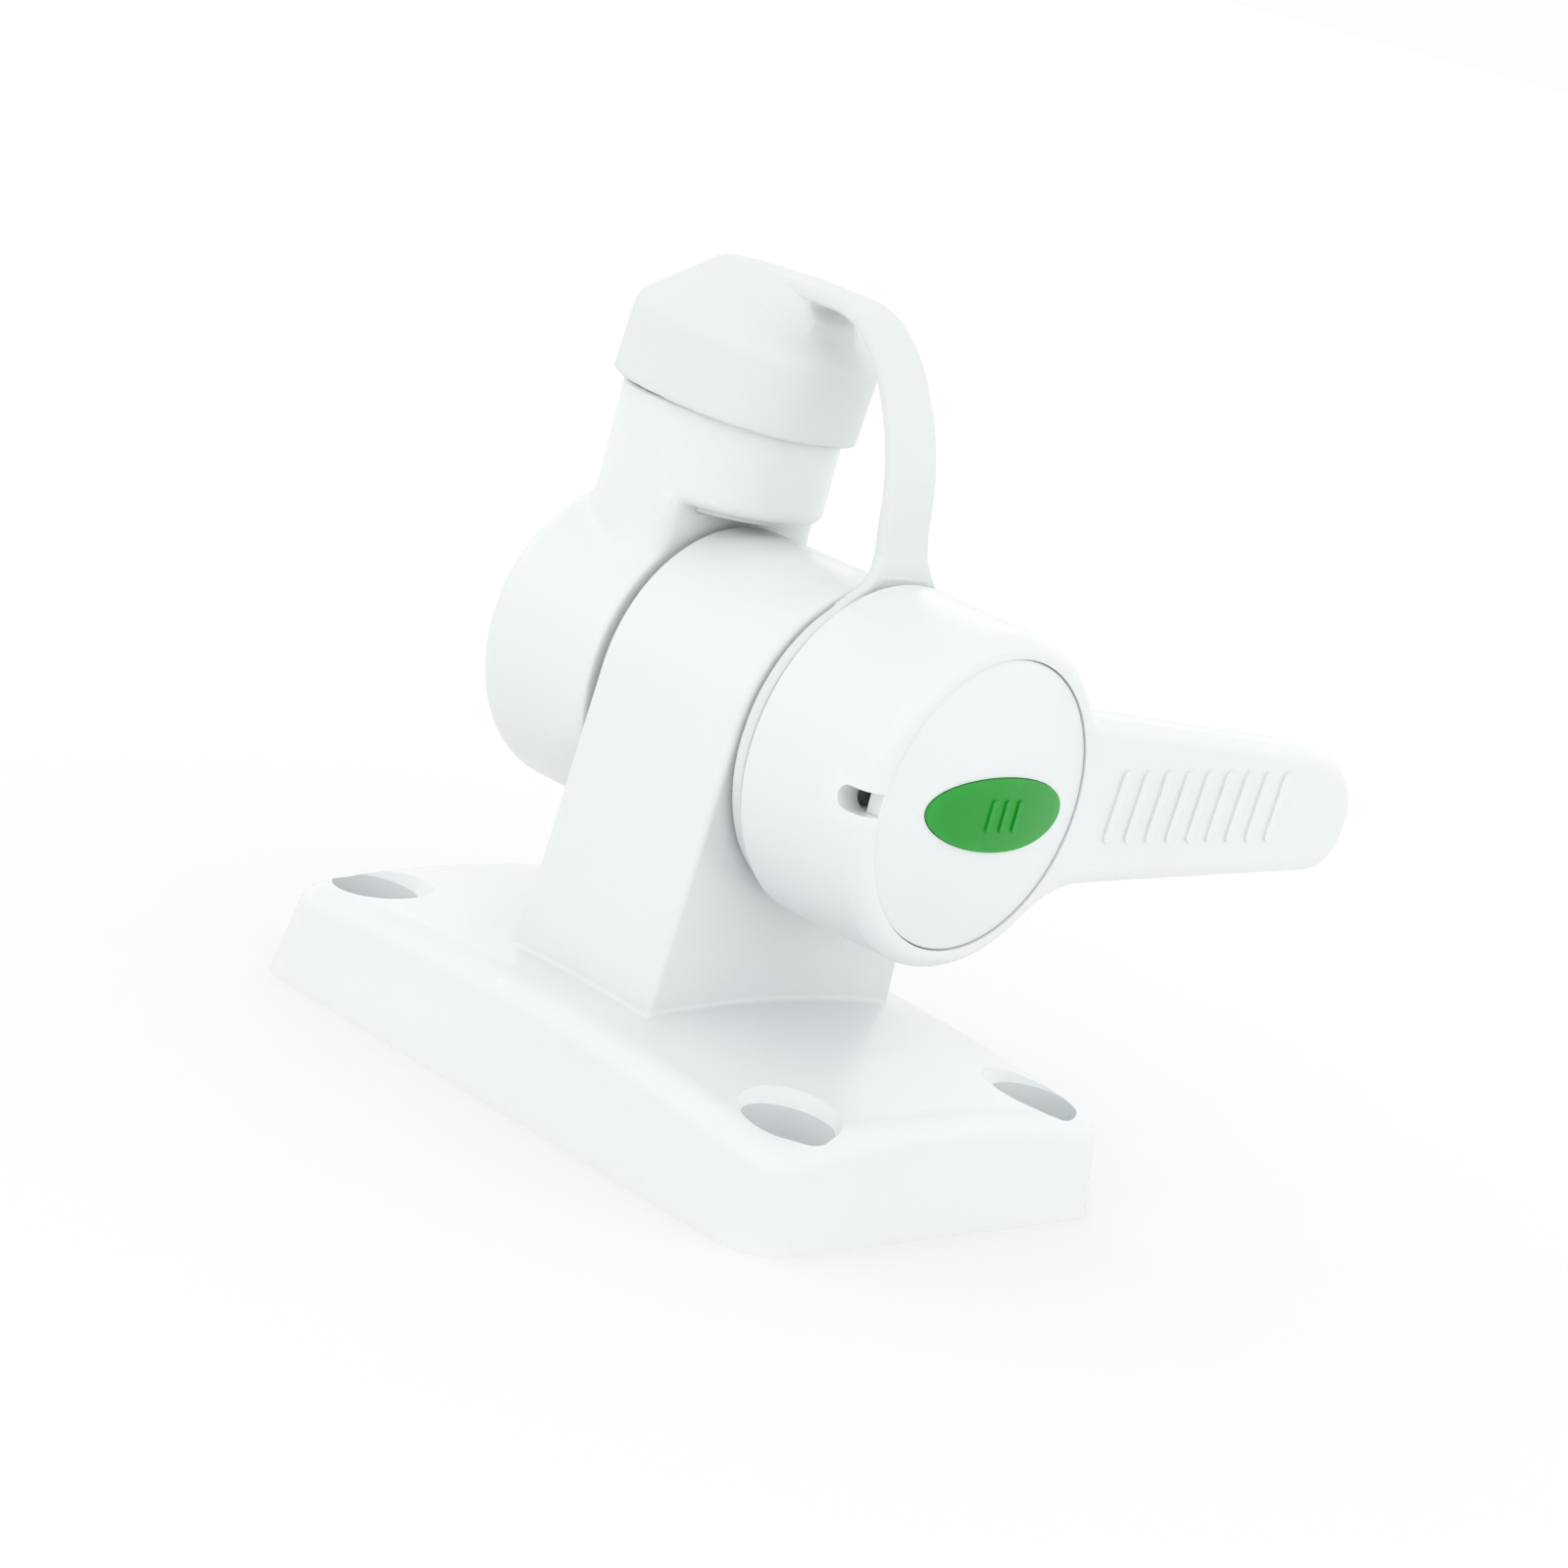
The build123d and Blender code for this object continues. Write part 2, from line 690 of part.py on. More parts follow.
def nearest_vertex(sketch, x, z):
    """The sketch's vertex nearest to a point."""
    return sketch.vertices().sort_by_distance(Vector(x, z))[0]


def lever_outline():
    """Knob circle with the tapered paddle and its rounded nose, drawn as (X, Z)."""
    centre = (lever_reach - lever_nose_length, head_height - lever_nose_drop)
    nose = EllipticalCenterArc(
        centre, lever_nose_length, lever_nose_height, start_angle=0, arc_size=90, rotation=-lever_taper
    )
    tip, shoulder = nose @ 0, nose @ 1
    slope = tan(radians(lever_taper))
    upper_root = (0, shoulder.Y + shoulder.X * slope)
    lower_root = (0, head_height - lever_root_drop)
    low = head_height - lever_tip_drop
    lower_tip = (tip.X - (tip.Y - low) * slope, low)
    rest = Polyline((shoulder.X, shoulder.Y), upper_root, lower_root, lower_tip, (tip.X, tip.Y))
    paddle = make_face(nose + rest)
    paddle = fillet([nearest_vertex(paddle, *lower_tip)], lever_tip_radius)
    outline = Pos(0, head_height) * Circle(knob_radius) + paddle
    outline = fillet([nearest_vertex(outline, knob_radius, upper_root[1])], lever_top_blend)
    return fillet([nearest_vertex(outline, knob_radius, lower_root[1])], lever_bottom_blend)


def grip_ribs():
    """Upright ribs raised on the paddle's face."""
    slot = SlotOverall(rib_length, rib_width, rotation=90 - rib_slant)
    ribs = []
    for step in range(rib_count):
        bar = Pos(rib_start + step * rib_pitch, head_height) * slot
        ribs.append(prism_y(bar, knob_front - rib_height, knob_front + 1))
    return ribs


def stop_slot():
    """Curved slot in the knob's back that swings past the stop pin."""
    reach = stop_pin_radius + stop_slot_clearance
    spare = degrees(stop_slot_clearance / stop_pin_circle)
    first = stop_pin_angle - lever_turn_angle - spare
    sweep_angle = lever_turn_angle + 2 * spare
    path = CenterArc((0, head_height), stop_pin_circle, first, sweep_angle)
    slot = SlotArc(path, 2 * reach)
    return prism_y(slot, knob_recess_floor - stop_slot_depth, knob_recess_floor + 1)


def pry_slot():
    """Slot through the knob's rim where a blade lifts the cover disc."""
    rear = knob_front + pry_slot_length
    half = pry_slot_width / 2
    rear_centre = rear - half
    wall_inner = -cover_skirt_outer_radius
    outside = knob_back_radius + 1
    slot = box_between(
        (-outside, knob_front - 1, head_height - half), (wall_inner, rear_centre, head_height + half)
    )
    reach = outside + wall_inner
    rounded = Rot(Y=90) * Cylinder(half, reach)
    return slot + Pos(wall_inner - reach / 2, rear_centre, head_height) * rounded


def make_lever_knob():
    """Knob and paddle with the cover's pocket, insert pocket, back recess and slots."""
    plate = prism_y(lever_outline(), knob_front, lever_back)
    plate = fillet(edges_at_y(plate, knob_front), knob_front_edge_radius)
    plate = fillet(edges_at_y(plate, lever_back), lever_edge_radius)
    drum_front = knob_front + knob_front_edge_radius
    drum_place = Pos(0, (drum_front + knob_back) / 2, head_height) * Rot(X=90)
    drum = drum_place * Cone(knob_back_radius, knob_radius, knob_back - drum_front)
    drum = fillet(edges_at_y(drum, knob_back), knob_back_edge_radius)
    knob = plate + drum
    for rib in grip_ribs():
        knob += rib
    knob -= bar_y(cover_radius + cover_clearance, knob_front - 1, cover_back + face_clearance)
    knob -= bar_y(cover_radius - cover_ledge_width, knob_front, cover_pocket_floor)
    knob -= bar_y(knob_recess_radius, knob_recess_floor, knob_back + 1)
    knob -= bar_y(thread_clearance_radius, knob_front, knob_back)
    hexagon = Pos(0, head_height) * RegularPolygon(insert_width / 2, 6, major_radius=False)
    knob -= prism_y(hexagon, knob_front, insert_end)
    knob -= stop_slot()
    return knob - pry_slot()


def make_lever_insert():
    """Threaded hexagon insert captured in the knob."""
    hexagon = Pos(0, head_height) * RegularPolygon(insert_width / 2 - fit_clearance, 6, major_radius=False)
    insert = prism_y(hexagon, insert_front, insert_end - face_clearance)
    bore = bolt_thread_radius + insert_bore_clearance
    return insert - bar_y(bore, insert_front - 1, insert_end + 1)


def make_stop_washer():
    """Washer on the bolt's end that keeps the knob from running off."""
    back = bolt_end - face_clearance
    return tube_y(
        stop_washer_radius, stop_screw_radius + washer_bore_clearance, back - stop_washer_thickness, back
    )


def make_stop_screw():
    """Screw in the bolt's end that holds the stop washer."""
    head_back = bolt_end - 2 * face_clearance - stop_washer_thickness
    head_front = head_back - stop_screw_head_thickness
    head = bar_y(stop_screw_head_radius, head_front, head_back)
    head = fillet(edges_at_y(head, head_front), stop_screw_head_thickness / 3)
    socket = Pos(0, head_height) * RegularPolygon(stop_screw_socket_radius, 6)
    head -= prism_y(socket, head_front - 1, head_front + stop_screw_socket_depth)
    return head + bar_y(stop_screw_radius, head_back - 0.1, bolt_end + stop_screw_length)


def dome(extra=0.0):
    """The sphere that the cover's front lies on, grown by extra."""
    return Pos(0, dome_centre_y, head_height) * Sphere(dome_radius + extra)


def badge_prism(growth=0.0):
    """The badge's oval, long in X, as a prism through the cover."""
    oval = Pos(0, head_height) * Ellipse(badge_half_length + growth, badge_half_height + growth)
    return prism_y(oval, knob_front - 2 * cover_dome, cover_back)


def make_cover_disc():
    """Domed snap-in disc with a skirt behind it and the badge's recess."""
    blank = bar_y(cover_radius, cover_face - 2 * cover_dome, cover_back)
    disc = blank & dome()
    skirt_end = cover_back + cover_skirt_length
    skirt_inner = cover_skirt_outer_radius - cover_skirt_thickness
    disc += tube_y(cover_skirt_outer_radius, skirt_inner, cover_back - 0.5, skirt_end)
    half = pry_slot_width / 2
    disc -= box_between(
        (-cover_radius, cover_back, head_height - half), (-skirt_inner + 1, skirt_end + 1, head_height + half)
    )
    recess = badge_prism(badge_clearance) - dome(badge_proud - badge_thickness)
    return disc - recess


def make_badge():
    """Oval badge with three plain raised bars."""
    plate = badge_prism() & dome(badge_proud)
    badge = plate - dome(badge_proud - badge_thickness + face_clearance)
    for step in range(bar_count):
        x = (step - (bar_count - 1) / 2) * bar_pitch
        bar = Pos(x, head_height) * SlotOverall(bar_length, bar_width, rotation=90)
        raised = prism_y(bar, knob_front - 2 * cover_dome, cover_back) & dome(badge_proud + bar_height)
        badge += raised - dome(badge_proud - badge_thickness / 2)
    return badge


def cap_form():
    """The cap's outside, upright on its rim's centre: sides, a sloped shoulder and a flat top."""
    outline = RectangleRounded(cap_width, cap_width, cap_corner_radius)
    top = RectangleRounded(cap_top_width, cap_top_width, cap_top_corner_radius)
    form = extrude(outline, cap_side_height)
    form += loft([Pos(0, 0, cap_side_height) * outline, Pos(0, 0, cap_height) * top], ruled=True)
    form = fillet(edges_at_z(form, cap_side_height), cap_shoulder_edge_radius)
    form = fillet(edges_at_z(form, cap_height), cap_top_edge_radius)
    return fillet(edges_at_z(form, 0), cap_rim_edge_radius)


def cap_tongue():
    """The stiff start of the strap, level from the cap's top out over its shoulder."""
    root = tongue_width / 2
    tip = strap_width / 2
    root_y = boss_y - tongue_root
    plan = Polyline((-root, root_y), (-tip, tongue_end), (tip, tongue_end), (root, root_y), close=True)
    tongue = Pos(0, 0, tongue_top - tongue_thickness) * extrude(make_face(plan), tongue_thickness)
    return fillet(edges_at_z(tongue, tongue_top), tongue_edge_radius)


def make_cap():
    """Soft cap over the stud, leaning a little, with the tongue and a lip round the boss."""
    cap = cap_place * cap_form() + cap_tongue()
    nose_bottom = stud_top - stud_nose_length
    bore_radius = stud_radius + cap_bore_clearance
    bore_top = nose_bottom + cap_bore_clearance
    cap -= bar_z(bore_radius, head_height, bore_top, 0, boss_y)
    crown_place = Pos(0, boss_y, bore_top + cap_crown_depth / 2)
    cap -= crown_place * Cone(bore_radius, cap_crown_radius, cap_crown_depth)
    lip = boss_radius + cap_lip_clearance
    return cap - bar_z(lip, head_height, boss_top + cap_lip_gap, 0, boss_y)


def make_strap():
    """Flexible tether from the cap's tongue down to the ring's tab."""
    start = Vector(0, tongue_end - strap_gap, tongue_top - tongue_thickness / 2)
    foot_y = (ring_back + ring_flange_front) / 2 + strap_foot_shift
    end = Vector(0, foot_y, head_height + ring_flange_radius + ring_tab_height + strap_gap)
    between = [start + Vector(0, *step) for step in strap_upper_steps]
    between.append(end + Vector(0, *strap_lower_step))
    path = Spline(start, *between, end, tangents=[(0, -1, 0), (0, -strap_foot_lean, -1)])
    plane = Plane(origin=start, x_dir=(1, 0, 0), z_dir=path % 0)
    return sweep(plane * Rectangle(strap_width, strap_thickness), path=path)


pieces = {
    "base_pedestal": make_base,
    "stop_pin": make_stop_pin,
    "thrust_washer": make_thrust_washer,
    "release_spring": make_release_spring,
    "arm": make_arm,
    "threaded_stud": make_stud,
    "stud_seal": make_stud_seal,
    "connector_body": make_connector_body,
    "connector_insulator": make_connector_insulator,
    "connector_contact": make_connector_contact,
    "cable_grommet": make_cable_grommet,
    "spring_seat": make_spring_seat,
    "clamp_bolt": make_clamp_bolt,
    "bolt_washer": make_bolt_washer,
    "stop_washer": make_stop_washer,
    "stop_screw": make_stop_screw,
    "lever_knob": make_lever_knob,
    "lever_insert": make_lever_insert,
    "cover_disc": make_cover_disc,
    "badge": make_badge,
    "cap_ring": make_cap_ring,
    "cap": make_cap,
    "cap_strap": make_strap,
}

os.makedirs("parts", exist_ok=True)
for name, make in pieces.items():
    export_step(make(), f"parts/{name}.step")
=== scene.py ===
"""Looks of the antenna ratchet mount: materials, soft and moulded skins, studio light and camera."""

import json
from math import cos, hypot, radians, sin, tau

import bpy
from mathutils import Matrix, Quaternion, Vector, noise as smooth_noise


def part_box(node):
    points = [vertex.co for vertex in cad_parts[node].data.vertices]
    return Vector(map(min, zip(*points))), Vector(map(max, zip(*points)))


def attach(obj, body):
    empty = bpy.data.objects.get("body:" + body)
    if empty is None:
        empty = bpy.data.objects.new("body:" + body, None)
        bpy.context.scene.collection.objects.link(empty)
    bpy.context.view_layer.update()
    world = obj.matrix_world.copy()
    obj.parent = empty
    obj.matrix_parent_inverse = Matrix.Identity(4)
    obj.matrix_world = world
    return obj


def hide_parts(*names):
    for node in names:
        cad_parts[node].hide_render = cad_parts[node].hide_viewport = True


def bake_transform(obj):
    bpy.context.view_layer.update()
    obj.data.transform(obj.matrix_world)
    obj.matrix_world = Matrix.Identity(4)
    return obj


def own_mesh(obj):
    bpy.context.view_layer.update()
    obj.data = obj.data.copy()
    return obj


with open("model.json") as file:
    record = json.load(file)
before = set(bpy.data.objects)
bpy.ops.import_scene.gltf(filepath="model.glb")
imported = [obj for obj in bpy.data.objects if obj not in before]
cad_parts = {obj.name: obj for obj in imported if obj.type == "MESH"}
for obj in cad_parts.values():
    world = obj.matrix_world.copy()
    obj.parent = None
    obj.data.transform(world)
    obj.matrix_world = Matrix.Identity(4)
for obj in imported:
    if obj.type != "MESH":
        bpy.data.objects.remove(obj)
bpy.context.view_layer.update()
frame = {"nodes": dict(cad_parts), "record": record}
nodes = frame["nodes"]

MM = 0.001
pivot_z = 50.4

# Camera, from the photograph: where it stands, which way it looks and how far it is rolled
camera_position = (-0.34814, -0.29822, 0.14691)
camera_heading = 40.167
camera_drop = 12.940
camera_roll = 15.207
camera_lens = 87.24
camera_sensor = 36.0

# Light: even white surroundings and a broad soft light from beside the camera
world_levels = ((0.08, 0.985), (0.32, 1.34), (0.62, 1.12), (1.0, 0.92))
sun_strength = 0.15
sun_angle = 60.0
sun_way = (0.7, 0.45, -1.0)
floor_size = 400.0
floor_tone = 0.9

# Tether, in millimetres: place along Y and Z, width and thickness, from the cap's top down to the ring
tether_on_cap = (
    (20.6, 99.9, 11.2, 1.5),
    (19.2, 100.4, 11.8, 1.9),
    (16.8, 100.62, 11.7, 2.05),
    (13.0, 100.62, 10.8, 2.05),
    (9.0, 100.61, 9.85, 2.03),
    (5.6, 100.58, 9.05, 1.98),
)
tether_in_air = (
    (3.2, 100.4, 8.7, 1.85),
    (1.2, 99.82, 8.5, 1.72),
    (-0.6, 98.95, 8.4, 1.65),
    (-3.5, 96.6, 8.4, 1.6),
    (-6.0, 93.6, 8.4, 1.6),
    (-8.8, 88.9, 8.4, 1.6),
    (-10.6, 84.4, 8.4, 1.6),
    (-11.45, 80.8, 8.4, 1.6),
    (-12.0, 77.4, 8.45, 1.6),
    (-12.6, 74.8, 8.6, 1.65),
    (-13.2, 73.0, 8.9, 1.8),
    (-13.6, 71.6, 9.2, 1.9),
    (-13.75, 70.4, 9.4, 1.9),
)
# Where the strap spreads into the ring: height, half width, front and back
ring_fan = (
    (74.3, 4.35, -13.45, -12.0),
    (73.1, 4.7, -13.95, -12.3),
    (72.1, 5.2, -14.3, -12.6),
    (71.2, 5.9, -14.5, -12.85),
    (70.4, 6.8, -14.55, -12.95),
    (69.6, 7.9, -14.55, -12.95),
    (68.7, 9.2, -14.55, -12.95),
    (67.9, 10.2, -14.55, -12.95),
)
# The ring stays behind these places along Y: its lip inside the knob and its flange outside it
ring_lip = -15.75
ring_lip_radius = 17.6
ring_flange = -14.6
# Where the cap's top swells into the strap: place along Y, height and half width of its crest and of
# its foot, and the height of its floor
cap_saddle = (
    (18.5, 101.3, 5.2, 99.5, 8.2, 98.3),
    (15.5, 101.4, 5.4, 99.3, 8.6, 98.3),
    (13.0, 101.4, 5.1, 98.9, 8.6, 98.0),
    (11.0, 101.3, 4.7, 97.9, 8.2, 97.0),
    (9.4, 100.7, 4.4, 96.7, 7.5, 96.0),
    (8.0, 99.4, 4.1, 95.6, 6.5, 94.9),
    (6.9, 97.5, 3.6, 94.6, 5.0, 93.9),
)
# Where the arm's column meets its disc: lines along Y at (x, z), and how far about them the crease is eased
arm_creases = ((-13.8, 65.2), (13.8, 65.2))
crease_from_y = 14.0
crease_to_y = 32.4
crease_reach = 7.5
crease_rounds = 90
# The arm's ring of ratchet teeth, which keeps the CAD's faces, and the skin's place behind it
teeth_inner_radius = 11.2
teeth_outer_radius = 17.5
behind_teeth = 14.0
# Release spring: radius of its wire and coil, turns, and how little its end turns rise
spring_wire = 0.7
spring_coil = 6.9
spring_turns = 4.0
spring_end_share = 0.16
spring_end_rise = 0.09
spring_end_gap = 0.02

# ---------------------------------------------------------------- materials


def material(name):
    """An empty node material with its shader."""
    made = bpy.data.materials.new(name)
    made.use_nodes = True
    return made, made.node_tree.nodes, made.node_tree.links, made.node_tree.nodes["Principled BSDF"]


def ramp(tree_nodes, tree_links, source, low, high, colours):
    """A colour ramp between two places of a value."""
    node = tree_nodes.new("ShaderNodeValToRGB")
    node.color_ramp.elements[0].position = low
    node.color_ramp.elements[1].position = high
    node.color_ramp.elements[0].color = (*colours[0], 1.0)
    node.color_ramp.elements[1].color = (*colours[1], 1.0)
    tree_links.new(source, node.inputs["Fac"])
    return node


def noise(tree_nodes, tree_links, coordinates, scale, detail, roughness=0.5, stretch=None):
    """Noise in the part's own coordinates, stretched along an axis if asked."""
    node = tree_nodes.new("ShaderNodeTexNoise")
    node.inputs["Scale"].default_value = scale
    node.inputs["Detail"].default_value = detail
    node.inputs["Roughness"].default_value = roughness
    source = coordinates
    if stretch:
        mapping = tree_nodes.new("ShaderNodeMapping")
        mapping.inputs["Scale"].default_value = stretch
        tree_links.new(coordinates, mapping.inputs["Vector"])
        source = mapping.outputs["Vector"]
    tree_links.new(source, node.inputs["Vector"])
    return node


def mix(tree_nodes, tree_links, blend, factor, a, b):
    """A colour mix whose inputs are sockets or plain colours."""
    node = tree_nodes.new("ShaderNodeMix")
    node.data_type = "RGBA"
    node.blend_type = blend
    for socket, value in ((node.inputs["Factor"], factor), (node.inputs["A"], a), (node.inputs["B"], b)):
        if isinstance(value, bpy.types.NodeSocket):
            tree_links.new(value, socket)
        elif isinstance(value, tuple):
            socket.default_value = (*value, 1.0)
        else:
            socket.default_value = value
    return node.outputs["Result"]


def bump(tree_nodes, tree_links, height, strength, distance, normal=None):
    """A bump from a height, in metres, on top of another normal if given."""
    node = tree_nodes.new("ShaderNodeBump")
    node.inputs["Strength"].default_value = strength
    node.inputs["Distance"].default_value = distance
    tree_links.new(height, node.inputs["Height"])
    if normal is not None:
        tree_links.new(normal, node.inputs["Normal"])
    return node.outputs["Normal"]


def moulded(name, colour, shade, edge, rough, grain=0.00004, wave=0.0002, coat=0.0):
    """Moulded plastic or rubber: cloudy colour, fine dust specks, rubbed edges, fine grain and slight sink.
    """
    made, tree, links, shader = material(name)
    place = tree.new("ShaderNodeTexCoord").outputs["Object"]
    cloud = noise(tree, links, place, 28.0, 4.0, 0.55)
    tone = ramp(tree, links, cloud.outputs["Fac"], 0.35, 0.7, (shade, colour))
    speck = noise(tree, links, place, 900.0, 3.0, 0.6)
    dust = ramp(tree, links, speck.outputs["Fac"], 0.66, 0.74, ((0.0, 0.0, 0.0), (1.0, 1.0, 1.0)))
    scaled = tree.new("ShaderNodeMath")
    scaled.operation = "MULTIPLY"
    scaled.inputs[1].default_value = 0.05
    links.new(dust.outputs["Color"], scaled.inputs[0])
    grey = tuple(c * 0.8 for c in shade)
    dusty = mix(tree, links, "MIX", scaled.outputs["Value"], tone.outputs["Color"], grey)
    point = tree.new("ShaderNodeNewGeometry").outputs["Pointiness"]
    worn = ramp(tree, links, point, 0.53, 0.6, ((0.0, 0.0, 0.0), (0.55, 0.55, 0.55)))
    final = mix(tree, links, "MIX", worn.outputs["Color"], dusty, edge)
    links.new(final, shader.inputs["Base Color"])
    gloss = noise(tree, links, place, 60.0, 5.0, 0.6)
    level = tree.new("ShaderNodeMapRange")
    level.inputs["From Min"].default_value = 0.3
    level.inputs["From Max"].default_value = 0.7
    level.inputs["To Min"].default_value = rough - 0.05
    level.inputs["To Max"].default_value = rough + 0.07
    links.new(gloss.outputs["Fac"], level.inputs["Value"])
    links.new(level.outputs["Result"], shader.inputs["Roughness"])
    fine = noise(tree, links, place, 2600.0, 2.0, 0.5)
    sink = noise(tree, links, place, 45.0, 2.0, 0.4)
    normal = bump(tree, links, sink.outputs["Fac"], 0.35, wave)
    normal = bump(tree, links, fine.outputs["Fac"], 0.4, grain, normal)
    links.new(normal, shader.inputs["Normal"])
    shader.inputs["Coat Weight"].default_value = coat
    shader.inputs["Coat Roughness"].default_value = 0.2
    return made


def metal(name, colour, dark, rough, stretch):
    """Turned or brushed metal: fine lines, uneven polish and slightly dull patches."""
    made, tree, links, shader = material(name)
    place = tree.new("ShaderNodeTexCoord").outputs["Object"]
    lines = noise(tree, links, place, 420.0, 5.0, 0.65, stretch)
    patch = noise(tree, links, place, 70.0, 4.0, 0.6)
    tone = ramp(tree, links, lines.outputs["Fac"], 0.3, 0.72, (dark, colour))
    dull = ramp(tree, links, patch.outputs["Fac"], 0.45, 0.75, ((0.0, 0.0, 0.0), (0.35, 0.35, 0.35)))
    final = mix(tree, links, "MIX", dull.outputs["Color"], tone.outputs["Color"], dark)
    links.new(final, shader.inputs["Base Color"])
    shader.inputs["Metallic"].default_value = 1.0
    level = tree.new("ShaderNodeMapRange")
    level.inputs["To Min"].default_value = rough - 0.06
    level.inputs["To Max"].default_value = rough + 0.1
    links.new(lines.outputs["Fac"], level.inputs["Value"])
    links.new(level.outputs["Result"], shader.inputs["Roughness"])
    links.new(bump(tree, links, lines.outputs["Fac"], 0.25, 0.00003), shader.inputs["Normal"])
    return made


def make_materials():
    """Every material by the record's slot name."""
    # name: colour, shade, worn edge, roughness, and what differs from the usual grain and coat
    plastics = {
        "white_nylon": (
            (0.81, 0.838, 0.846), (0.785, 0.815, 0.824), (0.85, 0.872, 0.878), 0.38, {"coat": 0.6}
        ),
        "white_rubber": (
            (0.77, 0.796, 0.8), (0.745, 0.772, 0.777), (0.78, 0.805, 0.81), 0.56, {"grain": 0.00006}
        ),
        "green_plastic": (
            (0.006, 0.335, 0.022), (0.005, 0.3, 0.018), (0.012, 0.37, 0.035), 0.34, {"grain": 0.00002}
        ),
        "acetal": ((0.86, 0.86, 0.82), (0.8, 0.8, 0.76), (0.9, 0.9, 0.87), 0.4, {}),
        "black_rubber": (
            (0.03, 0.03, 0.032), (0.02, 0.02, 0.021), (0.06, 0.06, 0.062), 0.6, {"grain": 0.00006}
        ),
        "insulator_plastic": ((0.9, 0.9, 0.88), (0.86, 0.86, 0.83), (0.93, 0.93, 0.91), 0.45, {}),
    }
    # name: colour, dark, roughness and how the brushed lines stretch
    metals = {
        "stainless_steel": ((0.66, 0.67, 0.68), (0.5, 0.51, 0.52), 0.3, (1.0, 9.0, 1.0)),
        "spring_steel": ((0.55, 0.56, 0.57), (0.36, 0.37, 0.38), 0.32, (1.0, 5.0, 1.0)),
        "nickel_plate": ((0.74, 0.72, 0.68), (0.6, 0.58, 0.54), 0.2, (1.0, 1.0, 8.0)),
        "brass": ((0.8, 0.6, 0.26), (0.62, 0.44, 0.17), 0.26, (1.0, 1.0, 7.0)),
    }
    made = {name: moulded(name, *values, **other) for name, (*values, other) in plastics.items()}
    made.update({name: metal(name, *values) for name, values in metals.items()})
    return made


def dress_nodes(materials):
    """Gives each CAD node the material of its slot."""
    for row in frame["record"]["subparts"]:
        shown = nodes[row["node"]]
        shown.data.materials.clear()
        shown.data.materials.append(materials[row["material_slot"]])


# ---------------------------------------------------------------- soft pieces


def new_piece(name, mesh, body, slot_name, replaced):
    """Puts a mesh in the scene as a piece that stands for a CAD node."""
    piece = bpy.data.objects.new(name, mesh)
    bpy.context.collection.objects.link(piece)
    mesh.materials.clear()
    mesh.materials.append(materials[slot_name])
    mesh.shade_smooth()
    if body:
        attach(piece, body)
    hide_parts(replaced)
    return piece


def mesh_of(name, points, faces):
    """A mesh from points in millimetres."""
    mesh = bpy.data.meshes.new(name)
    mesh.from_pydata([tuple(MM * v for v in point) for point in points], [], faces)
    mesh.validate()
    return mesh


def tube_faces(rings, around, closed=False):
    """Quads between rings of points, with end caps unless the rings close on themselves."""
    faces = []
    count = rings if closed else rings - 1
    for ring in range(count):
        after = (ring + 1) % rings
        for step in range(around):
            beside = (step + 1) % around
            low, high = ring * around, after * around
            faces.append((low + step, low + beside, high + beside, high + step))
    if not closed:
        faces.append(tuple(reversed(range(around))))
        faces.append(tuple((rings - 1) * around + step for step in range(around)))
    return faces


def soften(mesh, voxel, rounds, swell, size):
    """The same form as one continuous flexible skin: edges rounded over and the faces slightly uneven."""
    holder = bpy.data.objects.new("soften", mesh)
    bpy.context.collection.objects.link(holder)
    remesh = holder.modifiers.new("skin", "REMESH")
    remesh.mode = "VOXEL"
    remesh.voxel_size = voxel * MM
    smooth = holder.modifiers.new("round", "SMOOTH")
    smooth.factor = 0.5
    smooth.iterations = rounds
    shown = holder.evaluated_get(bpy.context.evaluated_depsgraph_get())
    made = bpy.data.meshes.new_from_object(shown)
    bpy.data.objects.remove(holder)
    normals = [vertex.normal.copy() for vertex in made.vertices]
    for vertex, normal in zip(made.vertices, normals):
        place = vertex.co / (size * MM)
        vertex.co += normal * (smooth_noise.noise(place) * swell * MM)
    return made


def curve_point(before, here, after, beyond, t):
    """One number of a smooth curve between two given ones, led by their neighbours."""
    slope = after - before
    bend = 2 * before - 5 * here + 4 * after - beyond
    twist = 3 * here - before - 3 * after + beyond
    return 0.5 * (2 * here + slope * t + bend * t * t + twist * t**3)


def curve_through(rows, steps):
    """Rows of numbers joined by a smooth curve that passes through each of them."""
    made = []
    last = len(rows) - 1
    for index in range(last):
        four = (rows[max(index - 1, 0)], rows[index], rows[index + 1], rows[min(index + 2, last)])
        for step in range(steps):
            made.append(tuple(curve_point(*values, step / steps) for values in zip(*four)))
    made.append(rows[last])
    return made


def make_tether():
    """Moulded strap from the cap's top down to the ring, wide at its roots, with rounded edges."""
    rows = curve_through(tether_on_cap + tether_in_air, 6)
    around = 28
    points = []
    for index, (y, z, width, thick) in enumerate(rows):
        last, beyond = rows[max(index - 1, 0)], rows[min(index + 1, len(rows) - 1)]
        ahead = Vector((0, beyond[0] - last[0], beyond[1] - last[1])).normalized()
        across = Vector((1, 0, 0))
        up = across.cross(ahead)
        for step in range(around):
            angle = tau * (step + 0.5) / around
            side = abs(cos(angle)) ** 0.22 * (1 if cos(angle) > 0 else -1)
            rise = abs(sin(angle)) ** 0.55 * (1 if sin(angle) > 0 else -1)
            points.append(Vector((0, y, z)) + across * (side * width / 2) + up * (rise * thick / 2))
    mesh = mesh_of("tether", points, tube_faces(len(rows), around))
    tether = new_piece("tether", mesh, None, "white_rubber", "cap_strap")
    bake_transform(tether)


